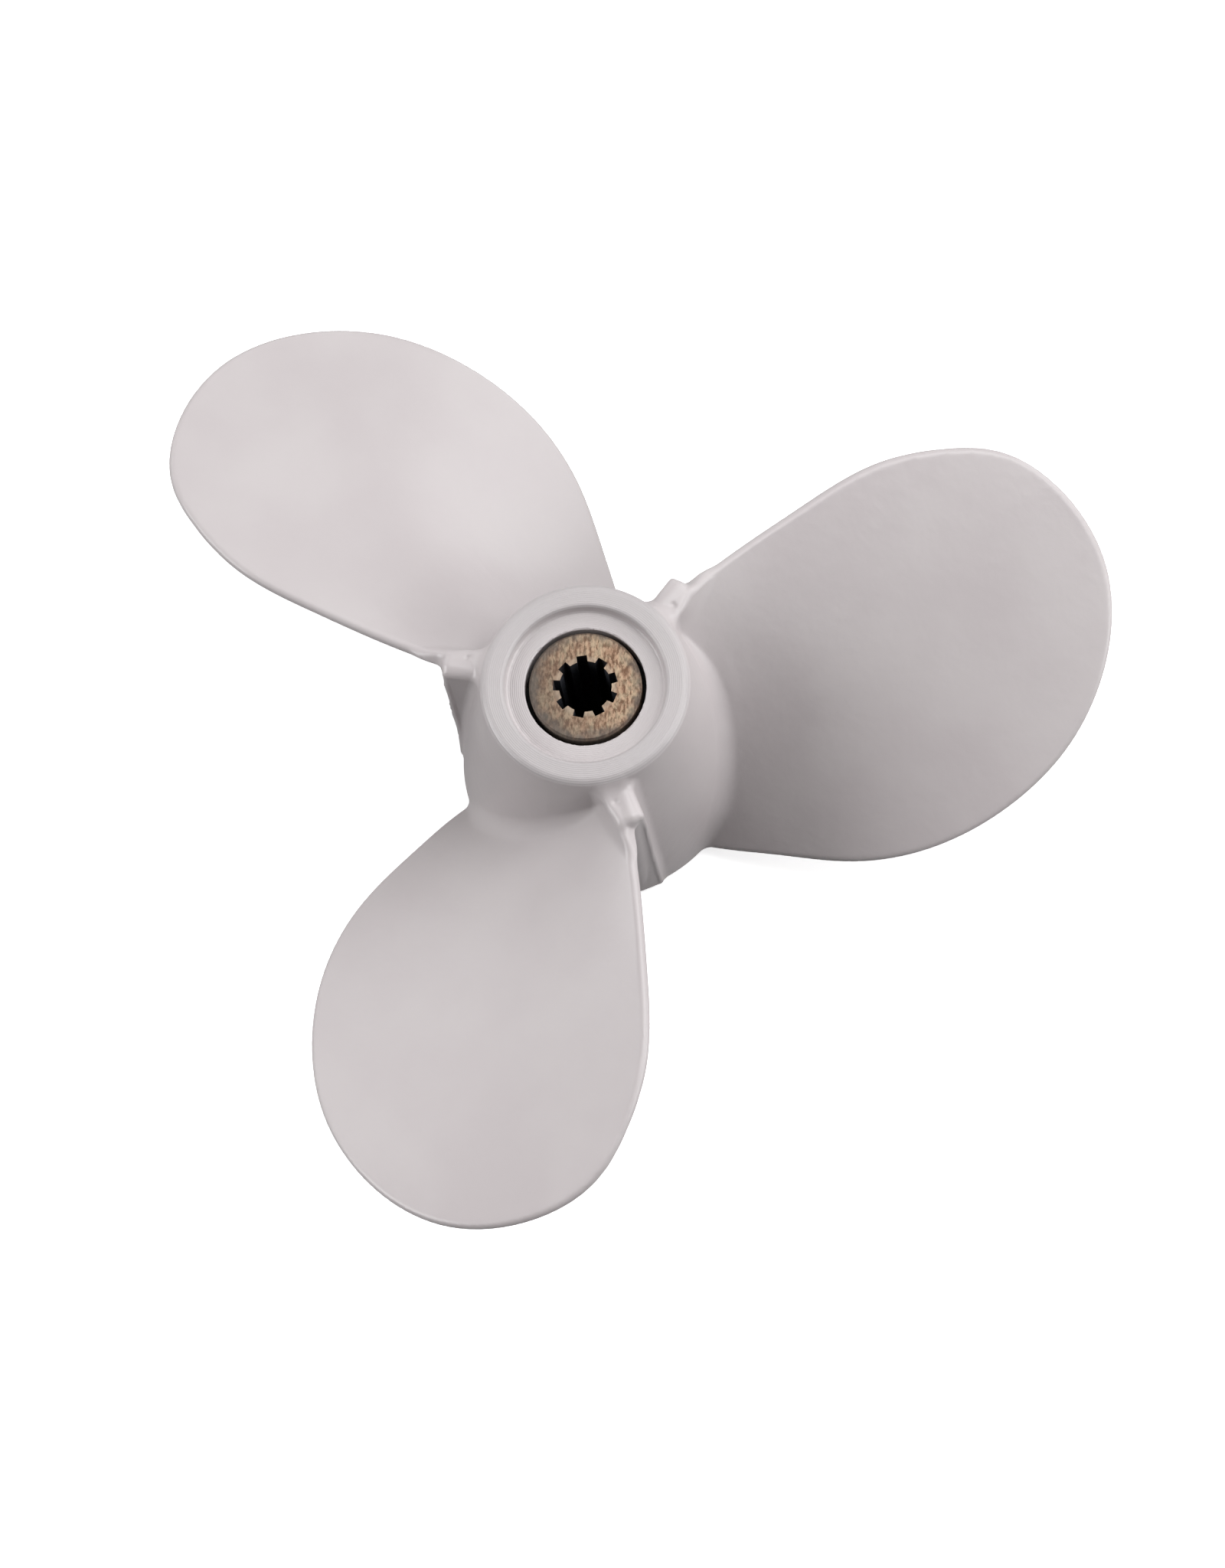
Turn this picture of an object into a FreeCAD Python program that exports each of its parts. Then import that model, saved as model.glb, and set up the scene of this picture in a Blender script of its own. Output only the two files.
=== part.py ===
import FreeCAD, Part
import math
import os

import Sketcher
from FreeCAD import Placement, Rotation, Vector

# Three-bladed outboard propeller. Z is the shaft axis and points aft. Z = 0 is the hub's front face.
# The first blade stands on the X axis. Lengths are in millimetres and angles in degrees.

DIMENSIONS = {
    # Blades
    "diameter": 190.5,
    "pitch": 177.8,
    "blade_count": 3,
    "rake": 5.2,
    "datum_height": 29.8,
    "rim_radius": 0.95,
    "tip_swell": 0.4,
    "root_swell": 1.9,
    "root_fillet": 4.5,
    # Developed blade outline: station radii, and the reach ahead of and behind the datum line
    "root_lead_radius": 24.5,
    "root_trail_radius": 17.4,
    "inner_radius": 38.0,
    "middle_radius": 52.0,
    "outer_radius": 66.0,
    "shoulder_radius": 79.0,
    "crown_radius": 89.5,
    "root_lead": 39.8,
    "inner_lead": 42.4,
    "middle_lead": 46.9,
    "outer_lead": 47.6,
    "shoulder_lead": 42.2,
    "crown_lead": 30.1,
    "tip_lead": 8.2,
    "crown_trail": 13.2,
    "shoulder_trail": 21.5,
    "outer_trail": 24.2,
    "middle_trail": 22.5,
    "inner_trail": 20.5,
    "root_trail": 17.3,
    # Hub
    "hub_length": 50.5,
    "belly_radius": 26.2,
    "front_corner": 4.0,
    "flank_curve": 500.0,
    "ring_radius": 18.4,
    "ring_corner": 1.2,
    "recess_radius": 14.2,
    "recess_floor_radius": 13.8,
    "recess_depth": 2.0,
    "web_thickness": 4.5,
    "web_hole_radius": 10.6,
    "chamber_radius": 15.2,
    "chamber_chamfer": 1.0,
    # Block under each blade, and its pad at the trailing edge
    "block_radius": 25.7,
    "block_start": -50.0,
    "block_end": 27.0,
    "pad_height": 47.8,
    "pad_start": 17.0,
    "pad_corner": 18.4,
    "pad_corner_reach": 21.2,
    "pad_face_start": 23.3,
    "pad_face_end": 34.0,
    "pad_end": 35.2,
    "pad_round": 1.3,
    "gusset_top": 47.6,
    "gusset_fall": 0.6,
    "gusset_foot": 45.0,
    "gusset_start_reach": 24.6,
    "gusset_start_angle": 22.3,
    "gusset_tip_reach": 29.6,
    "gusset_tip_angle": 26.3,
    "gusset_end_reach": 25.3,
    "gusset_end_angle": 30.0,
    "punch_reach": 20.75,
    "punch_angle": 24.5,
    "punch_radius": 0.45,
    "punch_depth": 0.4,
    "ridge_radius": 0.6,
    "ridge_top": 46.6,
    "ridge_top_reach": 25.35,
    "ridge_top_angle": 33.4,
    "ridge_foot_reach": 25.95,
    "ridge_foot_angle": 35.5,
    # Rubber damper
    "rubber_front": 3.0,
    "rubber_length": 40.5,
    "rubber_chamfer": 0.8,
    "running_clearance": 0.03,
    # Splined sleeve
    "sleeve_radius": 9.85,
    "sleeve_front": 0.5,
    "sleeve_aft": 48.8,
    "sleeve_chamfer": 0.4,
    "spline_count": 9,
    "spline_major_radius": 5.65,
    "spline_minor_radius": 4.6,
    "spline_slot_width": 1.85,
    "spline_phase": -2.8,
    "pilot_radius": 7.0,
    "pilot_length": 6.0,
}

document = FreeCAD.newDocument("propeller")
sheet = document.addObject("Spreadsheet::Sheet", "Dimensions")
for row, (alias, value) in enumerate(DIMENSIONS.items(), start=1):
    sheet.set(f"A{row}", alias)
    sheet.set(f"B{row}", str(value))
    sheet.setAlias(f"B{row}", alias)
document.recompute()


def size(formula):
    """Number that a cell, or an expression of cells, stands for."""
    return float(sheet.evalExpression(formula))


# Shapes are built this far past the surfaces that they join or cut
OVERLAP = 1.0
CLEAR = 10.0
BLADES = int(size("Dimensions.blade_count"))
BLADE_STEP = 360.0 / BLADES
# A turned surface's seam lies between two blades
SEAM_ANGLE = 75.0


# Sketch and body helpers


def new_body(name):
    body = document.addObject("PartDesign::Body", name)
    body.Label = name
    return body


def new_sketch(body, name, plane, height=None):
    """Sketch on one of the body's origin planes, lifted along the plane's normal by a height formula."""
    sketch = body.newObject("Sketcher::SketchObject", name)
    support = next(item for item in body.Origin.OriginFeatures if item.Role == plane)
    sketch.AttachmentSupport = (support, [""])
    sketch.MapMode = "FlatFace"
    sketch.Visibility = False
    if height:
        sketch.setExpression("AttachmentOffset.Base.z", height)
    return sketch


def constrain(sketch, kind, *where, formula):
    index = sketch.addConstraint(Sketcher.Constraint(kind, *where, size(formula)))
    sketch.setExpression(f"Constraints[{index}]", formula)


def arc_between(start, end, radius):
    """Arc from start to end that bulges away from an outline drawn anticlockwise."""
    chord = end - start
    inward = Vector(-chord.y, chord.x, 0).normalize()
    centre = (start + end) * 0.5 + inward * math.sqrt(radius**2 - (chord.Length / 2) ** 2)
    first = math.atan2(start.y - centre.y, start.x - centre.x)
    last = math.atan2(end.y - centre.y, end.x - centre.x)
    return Part.ArcOfCircle(Part.Circle(centre, Vector(0, 0, 1), radius), first, last)


def draw_outline(sketch, corners, arcs=None):
    """Closed anticlockwise outline. Corners are pairs of formulas; arcs maps a side to its radius formula."""
    arcs = arcs or {}
    points = [Vector(size(across), size(along), 0) for across, along in corners]
    for side, start in enumerate(points):
        end = points[(side + 1) % len(points)]
        if side in arcs:
            sketch.addGeometry(arc_between(start, end, size(arcs[side])), False)
        else:
            sketch.addGeometry(Part.LineSegment(start, end), False)
    for side in range(len(points)):
        following = (side + 1) % len(points)
        sketch.addConstraint(Sketcher.Constraint("Coincident", side, 2, following, 1))
    for side, (across, along) in enumerate(corners):
        constrain(sketch, "DistanceX", -1, 1, side, 1, formula=across)
        constrain(sketch, "DistanceY", -1, 1, side, 1, formula=along)
    for side, radius in arcs.items():
        constrain(sketch, "Radius", side, formula=radius)


def revolve(body, name, sketch):
    revolution = body.newObject("PartDesign::Revolution", name)
    revolution.Profile = sketch
    revolution.ReferenceAxis = (sketch, ["V_Axis"])
    revolution.Angle = 360.0
    return revolution


# Blade geometry

PITCH_PER_RADIAN = size("Dimensions.pitch / (2 * pi)")
RAKE_SLOPE = math.tan(math.radians(size("Dimensions.rake")))
DATUM_HEIGHT = size("Dimensions.datum_height")
RIM = size("Dimensions.rim_radius")
FILLET = size("Dimensions.root_fillet")
BURIAL = size("Dimensions.belly_radius - Dimensions.root_lead_radius")
# Shares of the fillet's radius that it loses at the root's two ends, and where along the root that starts
LEAD_FADE = 0.6
LEAD_FADE_START = 0.6
TRAIL_FADE = 0.95
TRAIL_FADE_START = 0.4
# The loops bend to follow the hub's flank between these stations
BEND_START = 0.45
BEND_END = 0.95
# The blade thickens towards the root from this radius inwards, over this length
SWELL_RADIUS = 80.0
SWELL_LENGTH = 60.0
# Distance from the edge over which the blade gains most of its thickness
SWELL_EDGE = 14.0


def outline_curve():
    """Developed outline, from the leading root round the tip to the trailing root, as (across, radius)."""
    stations = ("inner", "middle", "outer", "shoulder", "crown")
    leading = [("root_lead", "root_lead_radius")]
    leading += [(f"{station}_lead", f"{station}_radius") for station in stations]
    trailing = [(f"{station}_trail", f"{station}_radius") for station in reversed(stations)]
    trailing += [("root_trail", "root_trail_radius")]
    points = []
    for reach, radius in leading:
        points.append(Vector(-size(f"Dimensions.{reach}"), size(f"Dimensions.{radius}"), 0))
    points.append(Vector(-size("Dimensions.tip_lead"), size("Dimensions.diameter / 2"), 0))
    for reach, radius in trailing:
        points.append(Vector(size(f"Dimensions.{reach}"), size(f"Dimensions.{radius}"), 0))
    curve = Part.BSplineCurve()
    curve.interpolate(Points=points, Parameters=[i / (len(points) - 1) for i in range(len(points))])
    return curve


def helix_height(across, radius):
    """Height of the blade's middle surface."""
    turn = across / math.hypot(radius, PITCH_PER_RADIAN)
    return DATUM_HEIGHT + RAKE_SLOPE * radius + PITCH_PER_RADIAN * turn


def on_blade(across, radius, lift):
    """Point at a lift off the middle surface, measured round the hub so that it keeps its radius."""
    slant = math.hypot(radius, PITCH_PER_RADIAN)
    turn = across / slant - lift * PITCH_PER_RADIAN / (slant * radius)
    height = helix_height(across, radius) + lift * radius / slant
    return Vector(radius * math.cos(turn), radius * math.sin(turn), height)


def flank_radius(height):
    """Radius of the hub's tapered flank."""
    low = size("Dimensions.front_corner")
    high = size("Dimensions.hub_length - Dimensions.ring_corner")
    share = min(1.2, max(-0.1, (height - low) / (high - low)))
    straight = size("Dimensions.belly_radius") * (1 - share) + size("Dimensions.ring_radius") * share
    sagitta = (high - low) ** 2 / (8 * size("Dimensions.flank_curve"))
    return straight + 4 * sagitta * share * (1 - share)


def smooth_step(value, low, high):
    share = min(1.0, max(0.0, (value - low) / (high - low)))
    return share * share * (3 - 2 * share)


# Shares of the fillet's radius: where its arc gives way to a tangent, and how soon the tangent levels off
FOOT_SHARE = 0.03
LEVEL_SHARE = 0.2


def root_flare(clearance, radius):
    """Growth of the skin near the hub: a fillet arc, then its tangent, levelled off inside the hub."""
    if clearance >= radius:
        return 0.0
    foot = FOOT_SHARE * radius
    climb = radius - max(clearance, foot)
    run = math.sqrt(radius**2 - climb**2)
    if clearance >= foot:
        return radius - run
    sink = foot - clearance
    return radius - run + climb / run * sink / (1 + sink / (LEVEL_SHARE * radius))


SETTLING_ROUNDS = 12


class BladeSkin:
    """Blade surface, lofted through closed loops from the tip down to below the hub's flank."""

    RIM_TURNS = (0, 4, 8, 12, 17, 22, 27, 32, 38, 44, 50, 57, 65, 73, 81)
    TIP_LOOPS = 14
    ROOT_LOOPS = 11
    ROOT_SHARE = 0.1
    EDGE_SAMPLES = 400

    def __init__(self):
        self.outline = outline_curve()
        self.edge = [self.outline.value(i / self.EDGE_SAMPLES) for i in range(self.EDGE_SAMPLES + 1)]
        quarter = list(self.RIM_TURNS)
        half = quarter + [90] + [180 - turn for turn in reversed(quarter)]
        self.turns = half + [360 - turn for turn in reversed(half[1:-1])]
        upper = [(1 - self.ROOT_SHARE) * (i / self.TIP_LOOPS) ** 2 for i in range(self.TIP_LOOPS + 1)]
        lower = [1 - self.ROOT_SHARE * (1 - i / self.ROOT_LOOPS) for i in range(1, self.ROOT_LOOPS + 1)]
        self.stations = upper + lower

    def edge_distance(self, point):
        best = math.inf
        for start, end in zip(self.edge[:-1], self.edge[1:]):
            side = end - start
            share = min(1.0, max(0.0, (point - start).dot(side) / side.dot(side)))
            best = min(best, (point - start - side * share).Length)
        return best

    def root_sag(self, across, straight):
        """How far the hub's flank, seen on the blade, bows out of the straight line between the ends."""
        radius = straight
        for _ in range(SETTLING_ROUNDS):
            radius = flank_radius(helix_height(across, radius)) - BURIAL
        return radius - straight

    def middle_point(self, station, share):
        """Point on the middle surface; share runs from -1 on the leading edge to 1 on the trailing edge."""
        lead = self.outline.value(0.5 - 0.5 * station)
        trail = self.outline.value(0.5 + 0.5 * station)
        point = (lead + trail) * 0.5 + (trail - lead) * (0.5 * share)
        root_lead = self.outline.value(0)
        root_trail = self.outline.value(1)
        root = (root_lead + root_trail) * 0.5 + (root_trail - root_lead) * (0.5 * share)
        sag = self.root_sag(root.x, root.y) * (1 - share**6)
        return point + Vector(0, sag * smooth_step(station, BEND_START, BEND_END), 0)

    def skin_point(self, station, turn):
        angle = math.radians(turn)
        share = math.cos(angle)
        side = 1 if turn < 180 else -1
        middle = self.middle_point(station, share)
        if turn % 180 == 0:
            distance = 0.0
        else:
            distance = self.edge_distance(middle)
        depth = min(distance, RIM)
        rim = math.sqrt(RIM**2 - (RIM - depth) ** 2)
        rootward = max(0.0, (SWELL_RADIUS - middle.y) / SWELL_LENGTH)
        swell = size("Dimensions.tip_swell") + size("Dimensions.root_swell") * rootward**1.5
        lift = side * (rim + swell * (1 - math.exp(-distance / SWELL_EDGE)))
        outward = math.copysign(1 - depth / RIM, share)
        upward = side * math.sqrt(1 - outward**2)
        face = 0.5 * (1 + upward)
        height = helix_height(middle.x, middle.y)
        block = max(size("Dimensions.block_radius"), flank_radius(height))
        hub = face * flank_radius(height) + (1 - face) * block
        lead_fade = LEAD_FADE * smooth_step(-share, LEAD_FADE_START, 1.0)
        trail_fade = TRAIL_FADE * smooth_step(share, TRAIL_FADE_START, 1.0)
        fillet = FILLET * (1 - lead_fade - trail_fade)
        flare = root_flare(middle.y - hub, fillet)
        return on_blade(middle.x + flare * outward, middle.y, lift + flare * upward)

    def loop(self, station):
        curve = Part.BSplineCurve()
        points = [self.skin_point(station, turn) for turn in self.turns]
        parameters = [turn / 360 for turn in self.turns] + [1.0]
        curve.interpolate(Points=points, Parameters=parameters, PeriodicFlag=True)
        return curve

    def solid(self):
        loops = [self.loop(station) for station in self.stations[1:]]
        ring = loops[0]
        tip = on_blade(self.outline.value(0.5).x, self.outline.value(0.5).y, 0)
        rows = [[tip] * ring.NbPoles] + [loop.getPoles() for loop in loops]
        columns = []
        for number in range(ring.NbPoles):
            column = Part.BSplineCurve()
            column.interpolate(Points=[poles[number] for poles in rows], Parameters=self.stations)
            columns.append(column)
        poles = [[column.getPole(i + 1) for column in columns] for i in range(columns[0].NbPoles)]
        surface = Part.BSplineSurface()
        surface.buildFromPolesMultsKnots(
            poles,
            columns[0].getMultiplicities(),
            ring.getMultiplicities(),
            columns[0].getKnots(),
            ring.getKnots(),
            False,
            True,
            3,
            3,
        )
        skin = surface.toShape()
        root_edge = [edge for edge in skin.Edges if not edge.Degenerated and edge.isClosed()]
        closed = Part.Compound([skin, Part.makeFilledFace(root_edge)])
        closed.sewShape()
        solid = Part.makeSolid(closed)
        if solid.Volume < 0:
            solid.reverse()
        return solid


# Casting

BLOCK_SECTIONS = 12
# The front face of the blades' roots stands this far behind the hub's front face
FRONT_TRIM = 1.6


def polar(radius, angle, height=0.0):
    turn = math.radians(angle)
    return Vector(radius * math.cos(turn), radius * math.sin(turn), height)


def make_hub_blank():
    body = new_body("hub_blank")
    sketch = new_sketch(body, "hub_outline", "XZ_Plane")
    corners = [
        ("0", "0"),
        ("Dimensions.belly_radius - Dimensions.front_corner", "0"),
        ("Dimensions.belly_radius", "Dimensions.front_corner"),
        ("Dimensions.ring_radius", "Dimensions.hub_length - Dimensions.ring_corner"),
        ("Dimensions.ring_radius - Dimensions.ring_corner", "Dimensions.hub_length"),
        ("0", "Dimensions.hub_length"),
    ]
    arcs = {1: "Dimensions.front_corner", 2: "Dimensions.flank_curve", 3: "Dimensions.ring_corner"}
    draw_outline(sketch, corners, arcs)
    revolve(body, "hub_turning", sketch)
    body.Placement = Placement(Vector(0, 0, 0), Rotation(Vector(0, 0, 1), SEAM_ANGLE))
    return body


def root_block():
    """Solid that fills the space under a blade's root, out to the block radius."""
    inner = size("Dimensions.chamber_radius") - OVERLAP
    outer = size("Dimensions.block_radius")
    bottom = size("Dimensions.front_corner")
    first = size("Dimensions.block_start")
    last = size("Dimensions.block_end")
    wires = []
    for number in range(BLOCK_SECTIONS):
        angle = first + (last - first) * number / (BLOCK_SECTIONS - 1)
        rise = DATUM_HEIGHT + PITCH_PER_RADIAN * math.radians(angle)
        corners = [
            polar(inner, angle, bottom),
            polar(outer, angle, bottom),
            polar(outer, angle, rise + RAKE_SLOPE * outer),
            polar(inner, angle, rise + RAKE_SLOPE * inner),
        ]
        wires.append(Part.makePolygon(corners + corners[:1]))
    return Part.makeLoft(wires, True, False)


def trailing_pad():
    """Flat-topped pad at a blade's trailing root. Its end wall runs down the hub as far as the belly."""
    inner = size("Dimensions.chamber_radius") - OVERLAP
    outer = size("Dimensions.block_radius")
    bottom = size("Dimensions.front_corner")
    top = size("Dimensions.pad_height")
    face_start = size("Dimensions.pad_face_start")
    face_end = size("Dimensions.pad_face_end")
    root = polar(inner, size("Dimensions.pad_start"))
    corner = polar(size("Dimensions.pad_corner_reach"), size("Dimensions.pad_corner"))
    first = polar(outer, face_start)
    middle = polar(outer, (face_start + face_end) / 2)
    last = polar(outer, face_end)
    foot = polar(inner, size("Dimensions.pad_end"))
    edges = [
        Part.LineSegment(root, corner),
        Part.LineSegment(corner, first),
        Part.Arc(first, middle, last),
        Part.LineSegment(last, foot),
        Part.LineSegment(foot, root),
    ]
    outline = Part.Wire([edge.toShape() for edge in edges])
    pad = Part.Face(outline).extrude(Vector(0, 0, top - bottom))
    pad.translate(Vector(0, 0, bottom))
    rounded = []
    for edge in pad.Edges:
        middle = edge.CenterOfMass
        inside = math.hypot(middle.x, middle.y) < inner + OVERLAP
        upright = edge.BoundBox.ZLength > OVERLAP
        if not inside and (upright or middle.z > top - OVERLAP):
            rounded.append(edge)
    return pad.makeFillet(size("Dimensions.pad_round"), rounded)


def edge_gusset():
    """Three-cornered web that carries a pad's top out along the trailing edge, falling towards its tip."""
    foot = size("Dimensions.gusset_foot")
    top = size("Dimensions.gusset_top")
    tip_top = top - size("Dimensions.gusset_fall")
    lower = []
    upper = []
    for corner, height in (("start", top), ("tip", tip_top), ("end", top)):
        reach = size(f"Dimensions.gusset_{corner}_reach")
        angle = size(f"Dimensions.gusset_{corner}_angle")
        lower.append(polar(reach, angle, foot))
        upper.append(polar(reach, angle, height))
    wires = [Part.makePolygon(corners + corners[:1]) for corners in (lower, upper)]
    return Part.makeLoft(wires, True, True)


def parting_ridge():
    """Thin round line of flash down the outer corner of a pad, where the mould's halves met."""
    ends = []
    for end, height in (("foot", size("Dimensions.front_corner")), ("top", size("Dimensions.ridge_top"))):
        reach = size(f"Dimensions.ridge_{end}_reach")
        angle = size(f"Dimensions.ridge_{end}_angle")
        ends.append(polar(reach, angle, height))
    run = ends[1] - ends[0]
    return Part.makeCylinder(size("Dimensions.ridge_radius"), run.Length, ends[0], run)


def add_shape(name, shape, angle=0.0):
    feature = document.addObject("Part::Feature", name)
    feature.Shape = shape
    feature.Placement = Placement(Vector(0, 0, 0), Rotation(Vector(0, 0, 1), angle))
    return feature


def make_bore_tool():
    """Turned tool that opens the recess, the web's hole and the damper's chamber, and trims both ends."""
    body = new_body("bore_tool")
    sketch = new_sketch(body, "bore_outline", "XZ_Plane")
    web_top = "Dimensions.hub_length - Dimensions.recess_depth"
    web_bottom = f"{web_top} - Dimensions.web_thickness"
    corners = [
        ("0", f"-{CLEAR}"),
        (f"Dimensions.belly_radius + {CLEAR}", f"-{CLEAR}"),
        (f"Dimensions.belly_radius + {CLEAR}", f"{FRONT_TRIM}"),
        (f"Dimensions.belly_radius + {OVERLAP}", f"{FRONT_TRIM}"),
        ("Dimensions.belly_radius - Dimensions.front_corner", "0"),
        ("Dimensions.chamber_radius + Dimensions.chamber_chamfer", "0"),
        ("Dimensions.chamber_radius", "Dimensions.chamber_chamfer"),
        ("Dimensions.chamber_radius", web_bottom),
        ("Dimensions.web_hole_radius", web_bottom),
        ("Dimensions.web_hole_radius", web_top),
        ("Dimensions.recess_floor_radius", web_top),
        ("Dimensions.recess_radius", "Dimensions.hub_length"),
        ("Dimensions.belly_radius", "Dimensions.hub_length"),
        ("Dimensions.belly_radius", f"Dimensions.hub_length + {CLEAR}"),
        ("0", f"Dimensions.hub_length + {CLEAR}"),
    ]
    draw_outline(sketch, corners)
    revolve(body, "bore_turning", sketch)
    body.Placement = Placement(Vector(0, 0, 0), Rotation(Vector(0, 0, 1), SEAM_ANGLE))
    return body


def make_punch(number):
    """Cone whose point makes the mark on a pad."""
    cone = document.addObject("Part::Cone", f"punch_{number}")
    cone.Radius1 = 0
    cone.setExpression("Radius2", "2 * Dimensions.punch_radius")
    cone.setExpression("Height", "2 * Dimensions.punch_depth")
    angle = size("Dimensions.punch_angle") + BLADE_STEP * number
    height = size("Dimensions.pad_height - Dimensions.punch_depth")
    cone.Placement = Placement(polar(size("Dimensions.punch_reach"), angle, height), Rotation())
    return cone


def make_propeller_casting():
    blade = BladeSkin().solid()
    root = blade.multiFuse([root_block(), trailing_pad(), edge_gusset()])
    ridge = parting_ridge()
    pieces = [make_hub_blank()]
    for number in range(BLADES):
        pieces.append(add_shape(f"blade_{number + 1}", root, BLADE_STEP * number))
        pieces.append(add_shape(f"ridge_{number + 1}", ridge, BLADE_STEP * number))
    blank = document.addObject("Part::MultiFuse", "casting_blank")
    blank.Shapes = pieces
    tools = document.addObject("Part::MultiFuse", "casting_tools")
    tools.Shapes = [make_bore_tool()] + [make_punch(number) for number in range(BLADES)]
    casting = document.addObject("Part::Cut", "propeller_casting")
    casting.Base = blank
    casting.Tool = tools
    casting.Label = "propeller_casting"
    return casting


# Rubber damper


def make_rubber_damper():
    body = new_body("rubber_damper")
    sketch = new_sketch(body, "damper_outline", "XZ_Plane")
    bore = "Dimensions.sleeve_radius + Dimensions.running_clearance"
    low = "Dimensions.rubber_front"
    high = "Dimensions.rubber_front + Dimensions.rubber_length"
    corners = [
        (bore, low),
        ("Dimensions.chamber_radius - Dimensions.rubber_chamfer", low),
        ("Dimensions.chamber_radius", f"{low} + Dimensions.rubber_chamfer"),
        ("Dimensions.chamber_radius", f"{high} - Dimensions.rubber_chamfer"),
        ("Dimensions.chamber_radius - Dimensions.rubber_chamfer", high),
        (bore, high),
    ]
    draw_outline(sketch, corners)
    revolve(body, "damper_turning", sketch)
    return body


# Splined sleeve


def make_splined_sleeve():
    body = new_body("splined_sleeve")
    front = "Dimensions.sleeve_front"
    aft = "Dimensions.sleeve_aft"
    outline = new_sketch(body, "sleeve_outline", "XZ_Plane")
    bore = "Dimensions.spline_minor_radius"
    pilot = "Dimensions.pilot_radius"
    pilot_end = f"{front} + Dimensions.pilot_length"
    chamfer = "Dimensions.sleeve_chamfer"
    corners = [
        (pilot, front),
        (f"Dimensions.sleeve_radius - {chamfer}", front),
        ("Dimensions.sleeve_radius", f"{front} + {chamfer}"),
        ("Dimensions.sleeve_radius", f"{aft} - {chamfer}"),
        (f"Dimensions.sleeve_radius - {chamfer}", aft),
        (bore, aft),
        (bore, pilot_end),
        (pilot, pilot_end),
    ]
    draw_outline(outline, corners)
    revolve(body, "sleeve_turning", outline)
    slot = new_sketch(body, "spline_slot", "XY_Plane", front)
    half = "Dimensions.spline_slot_width / 2"
    slot_corners = [
        ("0", f"-{half}"),
        ("Dimensions.spline_major_radius", f"-{half}"),
        ("Dimensions.spline_major_radius", half),
        ("0", half),
    ]
    draw_outline(slot, slot_corners)
    pocket = body.newObject("PartDesign::Pocket", "spline_cut")
    pocket.Profile = slot
    pocket.Reversed = True
    pocket.setExpression("Length", f"{aft} - {front}")
    splines = body.newObject("PartDesign::PolarPattern", "splines")
    splines.Originals = [pocket]
    splines.Axis = (slot, ["N_Axis"])
    splines.Angle = 360.0
    splines.setExpression("Occurrences", "Dimensions.spline_count")
    body.Tip = splines
    body.Placement = Placement(Vector(0, 0, 0), Rotation(Vector(0, 0, 1), size("Dimensions.spline_phase")))
    return body


# Document

pieces = [make_propeller_casting(), make_rubber_damper(), make_splined_sleeve()]
document.recompute()

for item in document.Objects:
    if "Invalid" in item.State or "Error" in item.State:
        raise RuntimeError(f"{item.Name} did not build: {item.State}")

os.makedirs("parts", exist_ok=True)
for piece in pieces:
    if piece.Shape.isNull() or not piece.Shape.isValid():
        raise RuntimeError(f"{piece.Label} has no valid shape")
    piece.Shape.exportStep(f"parts/{piece.Label}.step")
    print(piece.Label, round(piece.Shape.Volume), len(piece.Shape.Solids))
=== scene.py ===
import math

import bmesh
import bpy
import numpy as np
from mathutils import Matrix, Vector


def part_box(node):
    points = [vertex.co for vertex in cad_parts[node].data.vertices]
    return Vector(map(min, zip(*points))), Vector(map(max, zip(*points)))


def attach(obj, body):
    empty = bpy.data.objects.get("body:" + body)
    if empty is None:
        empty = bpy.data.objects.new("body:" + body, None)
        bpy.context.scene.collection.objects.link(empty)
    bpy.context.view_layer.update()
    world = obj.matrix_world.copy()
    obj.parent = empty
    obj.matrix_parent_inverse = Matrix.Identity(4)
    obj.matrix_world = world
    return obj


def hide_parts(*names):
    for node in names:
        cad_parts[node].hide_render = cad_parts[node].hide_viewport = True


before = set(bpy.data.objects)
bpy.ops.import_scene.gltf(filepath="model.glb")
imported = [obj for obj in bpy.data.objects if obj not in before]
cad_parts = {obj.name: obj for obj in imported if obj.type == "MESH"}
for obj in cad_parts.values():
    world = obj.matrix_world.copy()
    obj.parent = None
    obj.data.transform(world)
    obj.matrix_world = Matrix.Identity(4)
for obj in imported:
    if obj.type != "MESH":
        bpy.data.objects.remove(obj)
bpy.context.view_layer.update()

import openvdb
from mathutils import Matrix, Vector

# Lengths are in millimetres and are turned into metres where a mesh, light or camera is made.
# Z is the shaft axis and points aft. The first blade stands on the X axis.

MM = 0.001

# Blades. DATUM_HEIGHT is where a blade's raked datum line would meet the axis.
PITCH = 177.8
PITCH_PER_RADIAN = PITCH / (2 * math.pi)
RAKE_SLOPE = math.tan(math.radians(5.2))
DATUM_HEIGHT = 29.8
BLADES = 3
BLADE_STEP = 2 * math.pi / BLADES
TURN_BEHIND = 0.6 * BLADE_STEP
TIP_RADIUS = 95.25
# Half thickness: the rounded rim's radius, and a swell that grows toward the root
RIM = 0.95
TIP_SWELL = 0.4
ROOT_SWELL = 1.9
SWELL_RADIUS = 80
SWELL_SPAN = 60
SWELL_POWER = 1.5
SWELL_EDGE = 14
ROOT_LEAD = (-39.8, 24.5)
ROOT_TRAIL = (16.7, 17.4)
# Developed outline round the tip, from the leading root to the trailing root: (across, radius)
OUTLINE = [
    ROOT_LEAD, (-42.4, 38.0), (-46.9, 52.0), (-47.6, 66.0), (-42.2, 79.0), (-30.1, 89.5),
    (-8.2, TIP_RADIUS),
    (13.2, 89.5), (21.5, 79.0), (24.2, 66.0), (22.5, 52.0), (20.1, 38.0), ROOT_TRAIL,
]
EDGE_SAMPLES = 500
BELOW_AXIS = -20.0
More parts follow.
